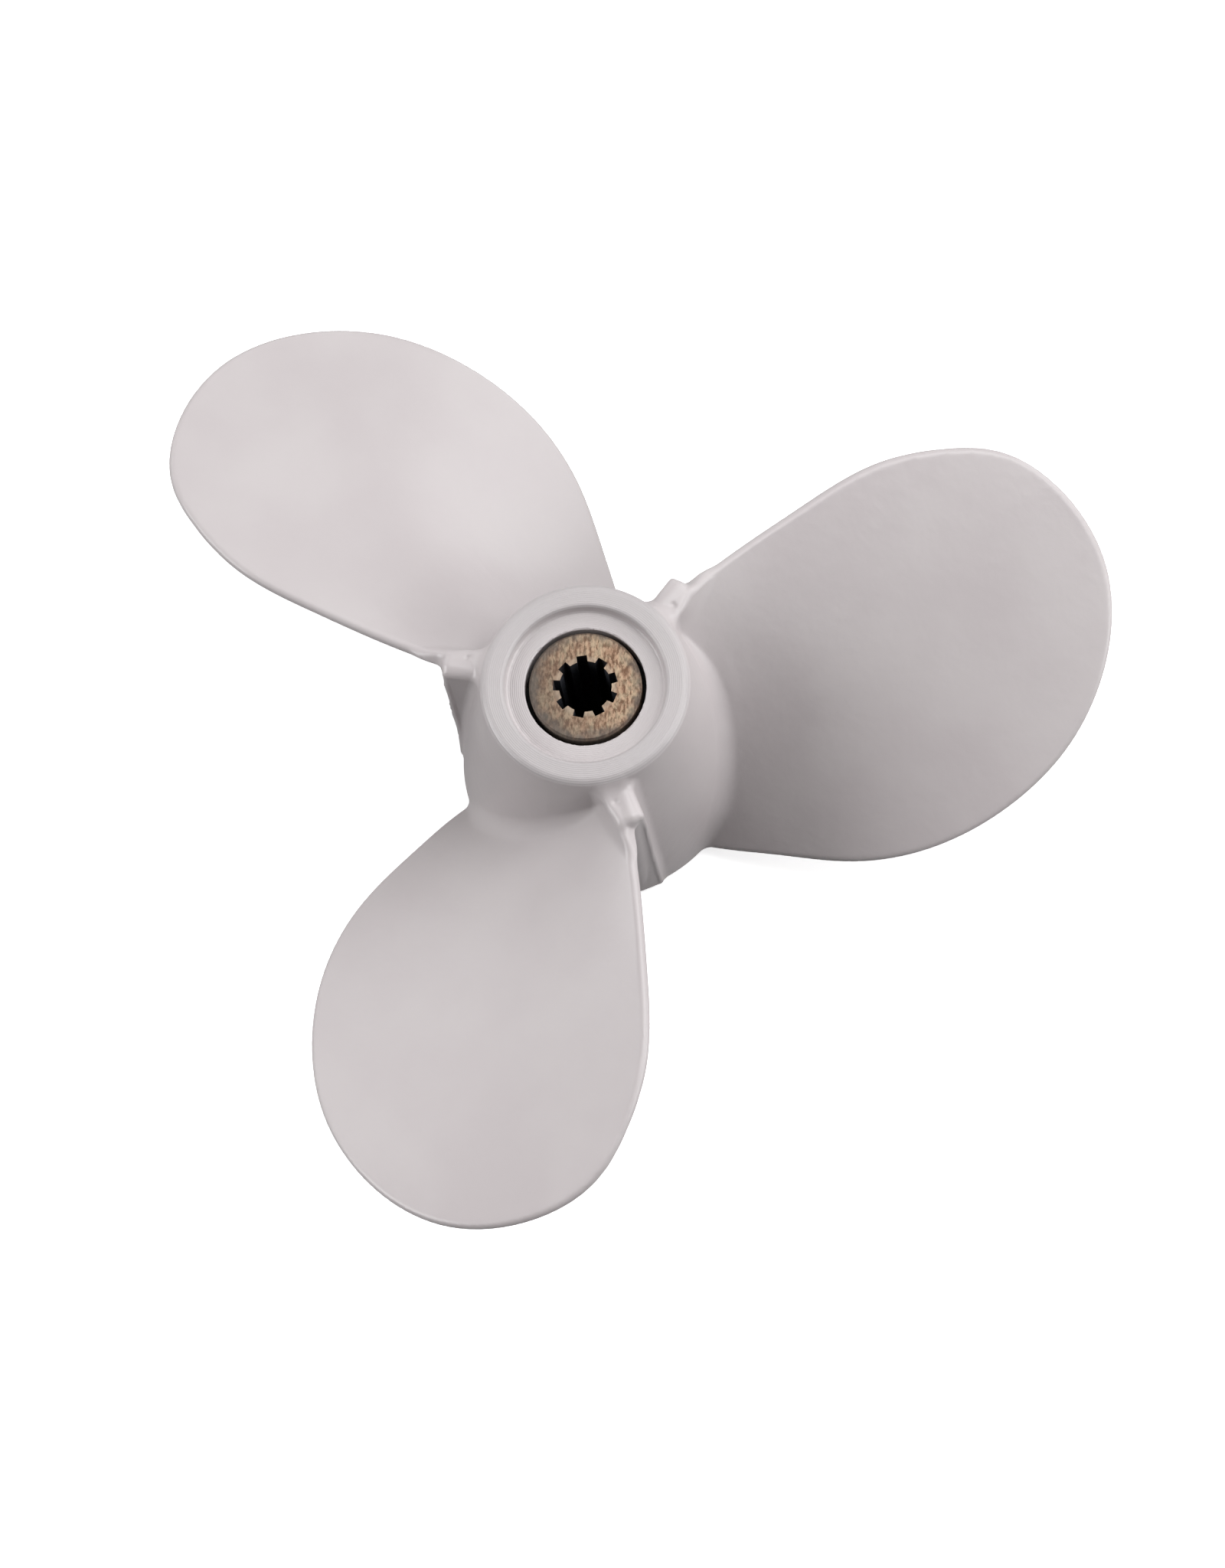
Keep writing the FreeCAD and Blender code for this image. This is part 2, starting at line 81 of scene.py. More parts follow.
# Fillet at the hub, and the share of it that is lost toward the leading and the trailing end
FILLET = 3.2
LEAD_FADE = 0.6
LEAD_FADE_FROM = 0.6
TRAIL_FADE = 0.95
TRAIL_FADE_FROM = 0.4
# The blades end flat at this height above the hub's front
FRONT_TRIM = 1.6
TRIM_ROUND = 0.4

# Hub
HUB_LENGTH = 50.5
BELLY_RADIUS = 25.6
FRONT_CORNER = 4.0
FLANK_SAG = 0.5
FLANK_COSINE = 0.985
FLANK_REACH = (-0.1, 1.2)
RING_RADIUS = 18.4
RING_CORNER = 1.2
RECESS_RADIUS = 14.2
RECESS_FLOOR = 48.5
RECESS_SLOPE = 0.2
WEB_BOTTOM = 44.0
WEB_HOLE_RADIUS = 10.6
CHAMBER_RADIUS = 15.2
CHAMFER = 1.0
BORE_ROUND = 0.5

# Block under each blade root
BLOCK_RADIUS = 25.5
BLOCK_FOOT = 2.0
BLOCK_TOP_ROUND = 0.3
BLOCK_ROUND = 0.5
BLOCK_FILLET = 0.8
BLOCK_START = math.radians(-50)
BLOCK_END = math.radians(29)

# Pad beside the block. Its sides are lines between (radius, degrees) corners.
PAD_HEIGHT = 47.8
PAD_WALL = ((14.2, 35.2), (25.7, 34.0))
PAD_START = ((25.7, 23.3), (21.2, 18.4))
PAD_INNER_START = ((21.2, 18.4), (14.2, 17.0))
PAD_FALL = 0.2
# Turn of the pad's wall for each millimetre below its top
WALL_DRAFT = math.radians(0.045)
PAD_SIDE_ROUND = 0.8
PAD_TOP_ROUND = 1.2
PAD_FILLET = 1.8
PAD_BLADE_FILLET = 2.8
PAD_FILLET_LIFT = 2

# Mould line down the pad's outer corner. Each pair is where it starts and where it has its full height.
RIDGE_ANGLE = math.radians(33.7)
RIDGE_HEIGHT = 0.42
RIDGE_HALF_WIDTH = 0.44
RIDGE_ABOVE_FRONT = (1.0, 4.0)
RIDGE_BELOW_PAD = (2.0, 8.0)
RIDGE_INSIDE = (24.3, 25.3)
RIDGE_OUTSIDE = BELLY_RADIUS + 1

# Punch mark on the pad
PUNCH_RADIUS = 21.45
PUNCH_ANGLE = math.radians(24.4)
PUNCH_SIZE = 0.45
PUNCH_DEPTH = 0.4
PUNCH_LAYER = 1

# Sampling: grid step, width of the kept band, layers worked out at a time, step of a slope
VOXEL = 0.5
BAND = 3 * VOXEL
LAYERS = 8
SLOPE_STEP = 0.02
SMALLEST_SLOPE = 0.5


# Distance fields: negative inside the metal, positive outside


def smooth_step(value, low, high):
    share = np.clip((value - low) / (high - low), 0, 1)
    return share * share * (3 - 2 * share)


def union(first, second, fillet):
    """Union whose inside corner is filled to a radius."""
    near = np.hypot(np.maximum(fillet - first, 0), np.maximum(fillet - second, 0))
    return np.maximum(fillet, np.minimum(first, second)) - near


def common(first, second, rounding):
    """Intersection whose outside corner is rounded to a radius."""
    far = np.hypot(np.maximum(first + rounding, 0), np.maximum(second + rounding, 0))
    return np.minimum(-rounding, np.maximum(first, second)) + far


def spline_points(corners, samples):
    """Points on the natural cubic spline through evenly spaced corners."""
    corners = np.array(corners, float)
    count = len(corners)
    system = np.eye(count) * 4 + np.eye(count, k=1) + np.eye(count, k=-1)
    system[0, 0] = system[-1, -1] = 2
    rises = np.vstack([corners[1] - corners[0], corners[2:] - corners[:-2], corners[-1] - corners[-2]])
    slopes = np.linalg.solve(system, 3 * rises)
    place = np.linspace(0, count - 1, samples)
    index = np.minimum(place.astype(int), count - 2)
    t = (place - index)[:, None]
    start, end = corners[index], corners[index + 1]
    return (
        start * (1 + 2 * t) * (1 - t) ** 2
        + slopes[index] * t * (1 - t) ** 2
        + end * t * t * (3 - 2 * t)
        - slopes[index + 1] * t * t * (1 - t)
    )


class EdgeMap:
    """Signed distance to the developed blade outline, kept on a grid: positive on the blade."""

    STEP = 0.25
    LOW = np.array([-62.0, 4.0])
    HIGH = np.array([46.0, 112.0])

    def __init__(self):
        edge = spline_points(OUTLINE, EDGE_SAMPLES)
        below = [(ROOT_TRAIL[0], BELOW_AXIS), (ROOT_LEAD[0], BELOW_AXIS)]
        loop = np.vstack([edge, below, edge[:1]])
        counts = np.round((self.HIGH - self.LOW) / self.STEP).astype(int) + 1
        across = self.LOW[0] + self.STEP * np.arange(counts[0])
        radius = self.LOW[1] + self.STEP * np.arange(counts[1])
        x, y = np.meshgrid(across, radius, indexing="ij")
        nearest = np.full(x.shape, np.inf)
        inside = np.zeros(x.shape, bool)
        for (x0, y0), (x1, y1) in zip(loop[:-1], loop[1:]):
            dx, dy = x1 - x0, y1 - y0
            share = np.clip(((x - x0) * dx + (y - y0) * dy) / (dx * dx + dy * dy), 0, 1)
            nearest = np.minimum(nearest, np.hypot(x - x0 - share * dx, y - y0 - share * dy))
            crosses = (y0 > y) != (y1 > y)
            if y0 != y1:
                inside ^= crosses & (x < x0 + (y - y0) * dx / dy)
        self.values = np.where(inside, nearest, -nearest)

    def distance(self, across, radius):
        """Value between grid points, at most at the last cell's far side."""
        last = np.array(self.values.shape) - 1.001
        place_x = np.clip((across - self.LOW[0]) / self.STEP, 0, last[0])
        place_y = np.clip((radius - self.LOW[1]) / self.STEP, 0, last[1])
        i, j = place_x.astype(int), place_y.astype(int)
        s, t = place_x - i, place_y - j
        low = self.values[i, j] * (1 - s) + self.values[i + 1, j] * s
        high = self.values[i, j + 1] * (1 - s) + self.values[i + 1, j + 1] * s
        return low * (1 - t) + high * t


edge_map = EdgeMap()


def flank_radius(height):
    """Radius of the hub's tapered and slightly bulged side."""
    share = (height - FRONT_CORNER) / (HUB_LENGTH - RING_CORNER - FRONT_CORNER)
    share = np.clip(share, *FLANK_REACH)
    return BELLY_RADIUS * (1 - share) + RING_RADIUS * share + 4 * FLANK_SAG * share * (1 - share)


def corner_place(corner):
    """X and y of a (radius, degrees) corner."""
    radius, degrees = corner
    angle = math.radians(degrees)
    return radius * math.cos(angle), radius * math.sin(angle)


def beside_line(turn, radius, start, end):
    """Distance to the right of the line from one (radius, degrees) corner to the other."""
    x0, y0 = corner_place(start)
    x1, y1 = corner_place(end)
    x = radius * np.cos(turn)
    y = radius * np.sin(turn)
    return ((y1 - y0) * (x - x0) - (x1 - x0) * (y - y0)) / math.hypot(x1 - x0, y1 - y0)


def pad_field(turn, radius, height, reach):
    """Upright wedge under the pad. Its wall leans, and its start side has two straight parts."""
    lean = WALL_DRAFT * (PAD_HEIGHT - height)
    field = common(reach, -beside_line(turn - lean, radius, *PAD_WALL), PAD_SIDE_ROUND)
    field = common(field, -beside_line(turn, radius, *PAD_START), PAD_SIDE_ROUND)
    field = common(field, -beside_line(turn, radius, *PAD_INNER_START), PAD_SIDE_ROUND)
    top = PAD_HEIGHT - PAD_FALL * np.maximum(radius - BLOCK_RADIUS, 0)
    return common(field, height - top, PAD_TOP_ROUND)


def cylinder_place(x, y):
    """Radius, and angle measured from the datum of the blade it belongs to."""
    radius = np.maximum(np.hypot(x, y), 1e-3)
    turn = np.arctan2(y, x)
    return radius, np.mod(turn + TURN_BEHIND, BLADE_STEP) - TURN_BEHIND


def blade_place(turn, radius, height):
    """Height above the blade's face, place across it and depth inside its outline."""
    slant = np.hypot(radius, PITCH_PER_RADIAN)
    rise = height - (DATUM_HEIGHT + RAKE_SLOPE * radius + PITCH_PER_RADIAN * turn)
    lift = rise * radius / slant
    across = turn * slant + rise * PITCH_PER_RADIAN / slant
    return lift, across, edge_map.distance(across, radius)


def blade_field(radius, height, lift, depth):
    """Blade that is thickest at the root and ends in a rounded rim."""
    rootward = np.clip((SWELL_RADIUS - radius) / SWELL_SPAN, 0, 1)
    inward = 1 - np.exp(-np.maximum(depth, 0) / SWELL_EDGE)
    swell = (TIP_SWELL + ROOT_SWELL * rootward**SWELL_POWER) * inward
    beyond = RIM - depth
    above = np.abs(lift) - swell
    outside = np.hypot(np.maximum(beyond, 0), np.maximum(above, 0))
    inside = np.minimum(np.maximum(beyond, above), 0)
    return common(outside + inside - RIM, FRONT_TRIM - height, TRIM_ROUND)


def block_field(turn, radius, height, lift):
    """Block that carries the blade's root down to the front of the hub."""
    ends = np.maximum(BLOCK_START - turn, turn - BLOCK_END) * radius
    block = common(common(radius - BLOCK_RADIUS, lift, BLOCK_TOP_ROUND), ends, BLOCK_ROUND)
    return common(block, BLOCK_FOOT - height, BLOCK_ROUND)


def opening_field(radius, height):
    """Recess at the back, hole through the web, and the damper's chamber with its chamfered mouth."""
    recess_wall = RECESS_RADIUS - RECESS_SLOPE * (HUB_LENGTH - height)
    recess = np.maximum(radius - recess_wall, RECESS_FLOOR - height)
    chamber = np.maximum(radius - CHAMBER_RADIUS, height - WEB_BOTTOM)
    mouth = (radius - CHAMBER_RADIUS - CHAMFER + height) * math.sqrt(0.5)
    return np.minimum(np.minimum(recess, radius - WEB_HOLE_RADIUS), np.minimum(chamber, mouth))


def root_fillet(across):
    """Fillet between blade and hub, which gets smaller toward both ends of the root."""
    share = (2 * across - ROOT_TRAIL[0] - ROOT_LEAD[0]) / (ROOT_TRAIL[0] - ROOT_LEAD[0])
    fade = LEAD_FADE * smooth_step(-share, LEAD_FADE_FROM, 1.0)
    fade = fade + TRAIL_FADE * smooth_step(share, TRAIL_FADE_FROM, 1.0)
    return FILLET * (1 - fade)


def plain_metal(x, y, z):
    """Distance field of the casting without its small marks."""
    radius, turn = cylinder_place(x, y)
    lift, across, depth = blade_place(turn, radius, z)
    blade = blade_field(radius, z, lift, depth)

    flank = (radius - flank_radius(z)) * FLANK_COSINE
    hub = common(common(flank, z - HUB_LENGTH, RING_CORNER), -z, FRONT_CORNER)
    hub = union(hub, block_field(turn, radius, z, lift), BLOCK_FILLET)

    reach = union(radius - BLOCK_RADIUS, np.maximum(-depth, -lift), PAD_FILLET)
    pad = common(pad_field(turn, radius, z, reach), BLOCK_FOOT - z, BLOCK_ROUND)
    pad_fillet = PAD_FILLET + (PAD_BLADE_FILLET - PAD_FILLET) * smooth_step(lift, 0, PAD_FILLET_LIFT)

    casting = union(blade, hub, root_fillet(across))
    casting = union(casting, pad, pad_fillet)
    casting = np.maximum(casting, -z)
    return common(casting, -opening_field(radius, z), BORE_ROUND)


def metal(x, y, z):
    """Distance field with the mould lines and punch marks."""
    radius, turn = cylinder_place(x, y)
    around = (turn - RIDGE_ANGLE - WALL_DRAFT * (PAD_HEIGHT - z)) * radius
    on_edge = smooth_step(z, *RIDGE_ABOVE_FRONT) * smooth_step(PAD_HEIGHT - z, *RIDGE_BELOW_PAD)
    on_edge = on_edge * smooth_step(radius, *RIDGE_INSIDE) * (radius < RIDGE_OUTSIDE)
    ridge = RIDGE_HEIGHT * np.exp(-((around / RIDGE_HALF_WIDTH) ** 2)) * on_edge

    aside = radius * np.cos(turn - PUNCH_ANGLE) - PUNCH_RADIUS
    along = radius * np.sin(turn - PUNCH_ANGLE)
    punch = PUNCH_DEPTH * np.exp(-(np.hypot(aside, along) / PUNCH_SIZE) ** 2)
    punch = punch * (z > PAD_HEIGHT - PUNCH_LAYER)
    return plain_metal(x, y, z) - ridge + punch


# Casting mesh

DETAIL_RADIUS = BELLY_RADIUS + 4
RIDGE_DETAIL_RADIUS = CHAMBER_RADIUS + 3
RIDGE_MARGIN = 1.8
WELD_DISTANCE = 0.0005


def sample_casting(low, high):
    """Grid of distances over a box, filled a few layers at a time."""
    counts = np.ceil((high - low) / VOXEL).astype(int) + 1
    x = low[0] + VOXEL * np.arange(counts[0])
    y = low[1] + VOXEL * np.arange(counts[1])
    z = low[2] + VOXEL * np.arange(counts[2])
    values = np.empty(counts, np.float32)
    for first in range(0, counts[2], LAYERS):
        layers = slice(first, first + LAYERS)
        field = plain_metal(x[:, None, None], y[None, :, None], z[None, None, layers])
        values[:, :, layers] = np.clip(field, -BAND, BAND)
    return values


def slope_of(points):
    """Field and its gradient at points."""
    slopes = np.empty_like(points)
    for axis in range(3):
        ahead = points.copy()
        behind = points.copy()
        ahead[:, axis] += SLOPE_STEP
        behind[:, axis] -= SLOPE_STEP
        slopes[:, axis] = (metal(*ahead.T) - metal(*behind.T)) / (2 * SLOPE_STEP)
    return metal(*points.T), slopes


def settle(points, rounds=4):
    """Moves points along the gradient until they lie on the surface."""
    for _ in range(rounds):
        field, slopes = slope_of(points)
        size = np.maximum((slopes**2).sum(axis=1), SMALLEST_SLOPE**2)
        shift = np.clip(field / size, -VOXEL, VOXEL)
        points = points - slopes * shift[:, None]
    return points


def is_detailed(point):
    """True round the ring, the pads and the mould lines, which need smaller faces."""
    radius = math.hypot(point.x, point.y)
    if radius > DETAIL_RADIUS:
        return False
    turn = math.atan2(point.y, point.x) % BLADE_STEP
    ridge_turn = RIDGE_ANGLE + WALL_DRAFT * (PAD_HEIGHT - point.z)
    near_ridge = abs(turn - ridge_turn) * radius < RIDGE_MARGIN and radius > RIDGE_DETAIL_RADIUS
    return point.z > WEB_BOTTOM or near_ridge


def refine(mesh):
    """Halves the faces that carry small detail."""
    shape = bmesh.new()
    shape.from_mesh(mesh)
    detailed = [face for face in shape.faces if is_detailed(face.calc_center_median())]
    chosen = {edge for face in detailed for edge in face.edges}
    chosen = sorted(chosen, key=lambda edge: edge.index)
    bmesh.ops.subdivide_edges(shape, edges=chosen, cuts=1, use_grid_fill=True)
    shape.to_mesh(mesh)
    shape.free()


def weld(mesh):
    """Joins points that settled on the same place, and drops the faces between them."""
    shape = bmesh.new()
    shape.from_mesh(mesh)
    bmesh.ops.remove_doubles(shape, verts=shape.verts, dist=WELD_DISTANCE * MM)
    shape.to_mesh(mesh)
    shape.free()


def make_casting():
    """Closed mesh of the field's zero, kept inside the casting's box."""
    low, high = (np.array(corner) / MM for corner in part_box("propeller_casting"))
    low = low - 2 * VOXEL
    high = high + 2 * VOXEL
    grid = openvdb.FloatGrid(BAND)
    grid.copyFromArray(sample_casting(low, high))
    points, quads = grid.convertToQuads(0.0)
    mesh = bpy.data.meshes.new("casting")
    mesh.from_pydata((points * VOXEL + low).tolist(), [], quads.tolist())
    refine(mesh)
    points = np.empty(len(mesh.vertices) * 3, np.float32)
    mesh.vertices.foreach_get("co", points)
    points = settle(points.reshape(-1, 3).astype(float)) * MM
    points = np.clip(points, *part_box("propeller_casting"))
    mesh.vertices.foreach_set("co", points.astype(np.float32).ravel())
    weld(mesh)
    mesh.shade_smooth()
    mesh.update()
    casting = bpy.data.objects.new("casting", mesh)
    bpy.context.scene.collection.objects.link(casting)
    return casting


casting = make_casting()
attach(casting, "propeller")
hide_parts("propeller_casting")


# Materials


class Nodes:
    """Short calls for making a material's nodes."""

    def __init__(self, name):
        self.material = bpy.data.materials.new(name)
        self.material.use_nodes = True
        self.tree = self.material.node_tree
        self.tree.nodes.clear()
        self.output = self.tree.nodes.new("ShaderNodeOutputMaterial")
        self.shader = self.node("ShaderNodeBsdfPrincipled")
        self.tree.links.new(self.shader.outputs[0], self.output.inputs["Surface"])
        self.place = self.node("ShaderNodeTexCoord").outputs["Object"]

    def node(self, kind, **settings):
        node = self.tree.nodes.new(kind)
        for key, value in settings.items():
            setattr(node, key, value)
        return node

    def feed(self, socket, value):
        if isinstance(value, bpy.types.NodeSocket):
            self.tree.links.new(value, socket)
        else:
            socket.default_value = value

    def math(self, operation, *values):
        node = self.node("ShaderNodeMath", operation=operation)
        for socket, value in zip(node.inputs, values):
            self.feed(socket, value)
        return node.outputs[0]

    def noise(self, scale, detail=2.0, roughness=0.5, vector=None):
        node = self.node("ShaderNodeTexNoise")
        self.feed(node.inputs["Vector"], vector or self.place)
        self.feed(node.inputs["Scale"], scale)
        self.feed(node.inputs["Detail"], detail)
        self.feed(node.inputs["Roughness"], roughness)
        return node.outputs["Fac"]

    def combine(self, *pairs):
        """Vector from three values, each followed by its scale."""
        node = self.node("ShaderNodeCombineXYZ")
        for socket, value, scale in zip(node.inputs, pairs[0::2], pairs[1::2]):
            self.feed(socket, self.math("MULTIPLY", value, scale))
        return node.outputs[0]

    def ramp(self, value, low, high, start=0.0, end=1.0):
        """Smooth change from start to end while a value goes from low to high."""
        node = self.node("ShaderNodeMapRange", interpolation_type="SMOOTHSTEP")
        values = {"Value": value, "From Min": low, "From Max": high, "To Min": start, "To Max": end}
        for key, number in values.items():
            self.feed(node.inputs[key], number)
        return node.outputs["Result"]

    def mix(self, share, first, second):
        node = self.node("ShaderNodeMix", data_type="RGBA")
        self.feed(node.inputs["Factor"], share)
        self.feed(node.inputs["A"], first)
        self.feed(node.inputs["B"], second)
        return node.outputs["Result"]

    def axes(self):
        node = self.node("ShaderNodeSeparateXYZ")
        self.feed(node.inputs[0], self.place)
        return node.outputs

    def along(self, angle):
        """Place along a horizontal direction at an angle from X."""
        x, y, _ = self.axes()
        share_x = self.math("MULTIPLY", x, math.cos(angle))
        share_y = self.math("MULTIPLY", y, math.sin(angle))
        return self.math("ADD", share_x, share_y)

    def radius(self):
        x, y, _ = self.axes()
        squares = self.math("ADD", self.math("MULTIPLY", x, x), self.math("MULTIPLY", y, y))
        return self.math("SQRT", squares)

    def bump(self, height, distance, strength=1.0, normal=None):
        node = self.node("ShaderNodeBump")
        self.feed(node.inputs["Height"], height)
        self.feed(node.inputs["Distance"], distance)
        self.feed(node.inputs["Strength"], strength)
        if normal:
            self.feed(node.inputs["Normal"], normal)
        return node.outputs["Normal"]

    def finish(self, **values):
        for name, value in values.items():
            self.feed(self.shader.inputs[name.replace("_", " ")], value)
        return self.material


def paint_material():
    """Semi-gloss warm grey paint over a cast and partly turned surface."""
    dark, light = (0.455, 0.418, 0.424, 1), (0.480, 0.446, 0.449, 1)
    speck = (0.42, 0.39, 0.38, 1)
    # Painted shade: a darker tone for the ring's upward-facing top, which catches the most light
    ring = (0.415, 0.388, 0.393, 1)
    groove_pitch = 0.35 * MM

    nodes = Nodes("painted_casting")
    radius = nodes.radius()
    height = nodes.axes()[2]
    cloud = nodes.noise(45.0, 3.0)
    grain = nodes.noise(900.0, 3.0, 0.6)
    peel = nodes.noise(420.0, 1.0)
    tone = nodes.mix(nodes.ramp(cloud, 0.3, 0.7), dark, light)
    tone = nodes.mix(nodes.ramp(grain, 0.62, 0.8, 0.0, 0.06), tone, speck)
    # Painted shade on the ring's top face
    tone = nodes.mix(nodes.ramp(height, 49.5 * MM, 50.0 * MM), tone, ring)

    near_axis = nodes.ramp(radius, 19.0 * MM, 18.0 * MM)
    turned = nodes.math("MULTIPLY", near_axis, nodes.ramp(height, 47.8 * MM, 48.2 * MM))
    groove = nodes.math("SINE", nodes.math("MULTIPLY", radius, 2 * math.pi / groove_pitch))
    orange_peel = nodes.math("ADD", peel, nodes.math("MULTIPLY", grain, 0.35))
    relief = nodes.bump(orange_peel, 0.06 * MM)
    relief = nodes.bump(nodes.math("MULTIPLY", groove, turned), 0.012 * MM, normal=relief)
    rough = nodes.ramp(cloud, 0.25, 0.75, 0.36, 0.46)
    return nodes.finish(
        Base_Color=tone, Roughness=rough, Normal=relief, Coat_Weight=0.25, Coat_Roughness=0.22
    )


def bronze_material():
    """Filed bronze with brown and grey tarnish that is darkest at the rim, and painted shade that makes the
    bore black.
    """
    brown, tan = (0.130, 0.073, 0.042, 1), (0.440, 0.296, 0.196, 1)
    yellow = (0.405, 0.330, 0.225, 1)
    red_brown = (0.190, 0.098, 0.058, 1)
    one_side_darkening = (0.080, 0.062, 0.048, 1)
    rim_tarnish = (0.085, 0.074, 0.066, 1)
    worn_edge = (0.430, 0.350, 0.270, 1)
    bore_painted_shade = (0.045, 0.048, 0.058, 1)
    file_angle = math.radians(-50.7)
    dark_angle = math.radians(60)

    nodes = Nodes("sleeve_bronze")
    radius = nodes.radius()
    height = nodes.axes()[2]
    along = nodes.along(file_angle)
    across = nodes.along(file_angle + math.pi / 2)
    dark_side = nodes.along(dark_angle)
    fine = nodes.noise(1.0, 4.0, 0.6, nodes.combine(across, 2000.0, along, 850.0, height, 900.0))
    broad = nodes.noise(1.0, 3.0, 0.6, nodes.combine(across, 950.0, along, 420.0, height, 500.0))
    patch = nodes.noise(330.0, 3.0, 0.6)

    tone = nodes.mix(nodes.ramp(fine, 0.38, 0.62), brown, tan)
    tone = nodes.mix(nodes.ramp(broad, 0.44, 0.68, 0.0, 0.55), tone, yellow)
    tone = nodes.mix(nodes.ramp(broad, 0.54, 0.34, 0.0, 0.55), tone, red_brown)
    # Darker toward one side of the face, along dark_angle
    tone = nodes.mix(nodes.ramp(dark_side, -6 * MM, 10 * MM, 0.0, 0.58), tone, one_side_darkening)

    wander = nodes.math("MULTIPLY", nodes.math("SUBTRACT", patch, 0.5), 5.5 * MM)
    lean = nodes.math("MULTIPLY", dark_side, 0.045)
    uneven_radius = nodes.math("ADD", radius, nodes.math("ADD", wander, lean))
    rim = nodes.ramp(uneven_radius, 7.5 * MM, 10.0 * MM, 0.0, 0.75)
    tone = nodes.mix(rim, tone, rim_tarnish)
    tone = nodes.mix(nodes.ramp(radius, 5.8 * MM, 5.1 * MM, 0.0, 0.4), tone, worn_edge)

    # Painted shade: the splined bore below the face is coloured near black
    below_face = nodes.ramp(height, 48.79 * MM, 48.55 * MM)
    bore = nodes.math("MULTIPLY", nodes.ramp(radius, 5.9 * MM, 5.6 * MM), below_face)
    tone = nodes.mix(bore, tone, bore_painted_shade)
    relief = nodes.bump(fine, 0.05 * MM, 0.8)
    rough = nodes.ramp(fine, 0.3, 0.7, 0.62, 0.46)
    return nodes.finish(Base_Color=tone, Metallic=0.5, Roughness=rough, Normal=relief)


def rubber_material():
    """Matt black moulded rubber with a faint bloom."""
    black, bloom = (0.012, 0.012, 0.013, 1), (0.035, 0.034, 0.034, 1)

    nodes = Nodes("damper_rubber")
    cloud = nodes.noise(180.0, 4.0)
    grain = nodes.noise(2400.0, 2.0)
    tone = nodes.mix(nodes.ramp(cloud, 0.3, 0.75), black, bloom)
    relief = nodes.bump(nodes.math("ADD", grain, cloud), 0.08 * MM)
    rough = nodes.ramp(cloud, 0.3, 0.7, 0.72, 0.9)
    return nodes.finish(Base_Color=tone, Roughness=rough, Normal=relief)


def floor_material():
    """Floor that is white and glows where the camera sees it, and sends little light back up."""
    pale, paler = (0.955, 0.955, 0.955, 1), (0.965, 0.965, 0.965, 1)
    bounce = (0.35, 0.35, 0.35, 1)

    nodes = Nodes("floor_white")
    cloud = nodes.noise(6.0, 3.0)
    white = nodes.mix(nodes.ramp(cloud, 0.3, 0.7), pale, paler)
    seen = nodes.node("ShaderNodeLightPath").outputs["Is Camera Ray"]
    color = nodes.mix(seen, bounce, white)
    glow = nodes.math("MULTIPLY", seen, nodes.ramp(nodes.radius(), 0.3, 1.2, 0.62, 1.0))
    return nodes.finish(Base_Color=color, Roughness=0.9, Emission_Color=white, Emission_Strength=glow)


def give(piece, material):
    piece.data.materials.clear()
    piece.data.materials.append(material)


give(casting, paint_material())
give(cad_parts["rubber_damper"], rubber_material())
give(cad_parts["splined_sleeve"], bronze_material())


# Studio. The floor's size and the lights' distance and size are in metres, the lights' power is in watts.

FLOOR_SIZE = 6.0
LIGHT_DISTANCE = 1.2
LIGHT_SIZE = 0.8
# Each light's angle round the view from the camera's up direction, its tilt from the view, and its power
LIGHTS = [
    ("high_upper", 0, 35, 3),
    ("high_upper_right", 45, 35, 7),
    ("left", 270, 62, 9.5),
    ("right", 90, 62, 8),
    ("low_upper", 0, 78, 2),
    ("low_upper_left", 315, 78, 3),
    ("low_upper_right", 45, 78, 5.5),
]

# The camera's place, the azimuth and elevation of the direction behind it, and its roll about that direction
CAMERA_PLACE = Vector((-147.62, 116.73, 628.57)) * MM
CAMERA_AZIMUTH = math.radians(141.288)
CAMERA_ELEVATION = math.radians(73.668)
CAMERA_ROLL = math.radians(-11.513)
SENSOR_WIDTH = 36.0
LENS = 80.461
CLIP_START = 0.01
LIGHT_TARGET = Vector((-10.7, 7.0, 29.9)) * MM


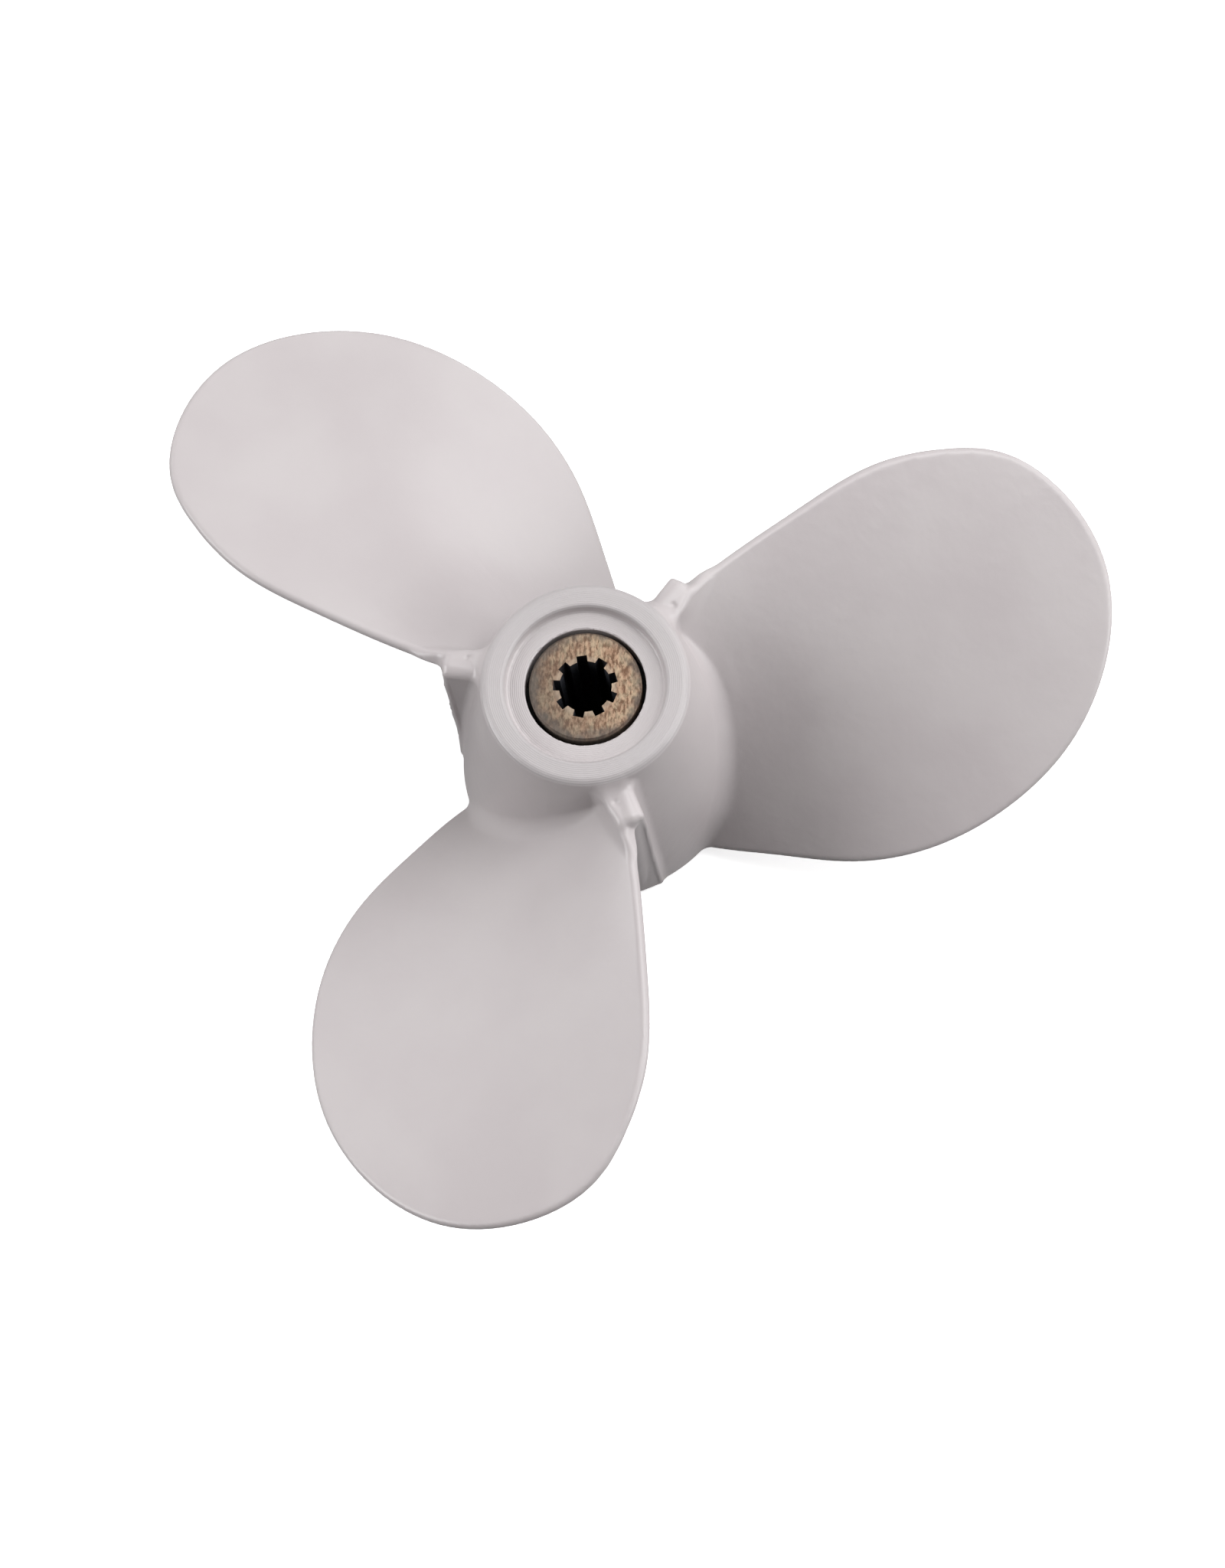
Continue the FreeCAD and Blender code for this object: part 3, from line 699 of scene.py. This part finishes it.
def add_floor():
    half = FLOOR_SIZE / 2
    corners = [(-half, -half, 0), (half, -half, 0), (half, half, 0), (-half, half, 0)]
    mesh = bpy.data.meshes.new("floor")
    mesh.from_pydata(corners, [], [(0, 1, 2, 3)])
    floor = bpy.data.objects.new("floor", mesh)
    bpy.context.scene.collection.objects.link(floor)
    give(floor, floor_material())


def camera_axes():
    """The camera's right, up and back directions."""
    flat = math.cos(CAMERA_ELEVATION)
    azimuth = CAMERA_AZIMUTH
    back = Vector((flat * math.cos(azimuth), flat * math.sin(azimuth), math.sin(CAMERA_ELEVATION)))
    level = Vector((-math.sin(azimuth), math.cos(azimuth), 0))
    right = level * math.cos(CAMERA_ROLL) + back.cross(level) * math.sin(CAMERA_ROLL)
    return right, back.cross(right), back


def add_light(name, around, tilt, power):
    """Round soft light that faces the target. Its angles are about the camera's own axes."""
    right, up, back = camera_axes()
    around = math.radians(around)
    tilt = math.radians(tilt)
    sideways = right * math.sin(around) + up * math.cos(around)
    toward = (sideways * math.sin(tilt) + back * math.cos(tilt)).normalized()
    data = bpy.data.lights.new(name, "AREA")
    data.shape = "DISK"
    data.size = LIGHT_SIZE
    data.energy = power
    light = bpy.data.objects.new(name, data)
    light.location = LIGHT_TARGET + toward * LIGHT_DISTANCE
    light.rotation_mode = "QUATERNION"
    light.rotation_quaternion = toward.to_track_quat("Z", "Y")
    bpy.context.scene.collection.objects.link(light)


def add_world():
    """World that is white where the camera sees it and gives no light of its own."""
    world = bpy.data.worlds.new("studio")
    world.use_nodes = True
    tree = world.node_tree
    background = tree.nodes["Background"]
    background.inputs["Color"].default_value = (1, 1, 1, 1)
    light_path = tree.nodes.new("ShaderNodeLightPath")
    tree.links.new(light_path.outputs["Is Camera Ray"], background.inputs["Strength"])
    bpy.context.scene.world = world


def add_camera():
    data = bpy.data.cameras.new("camera")
    data.sensor_width = SENSOR_WIDTH
    data.lens = LENS
    data.clip_start = CLIP_START
    camera = bpy.data.objects.new("camera", data)
    axes = Matrix(camera_axes()).transposed().to_4x4()
    camera.matrix_world = Matrix.Translation(CAMERA_PLACE) @ axes
    bpy.context.scene.collection.objects.link(camera)
    bpy.context.scene.camera = camera


add_floor()
for light in LIGHTS:
    add_light(*light)
add_world()
add_camera()
bpy.context.scene.view_settings.view_transform = "Standard"
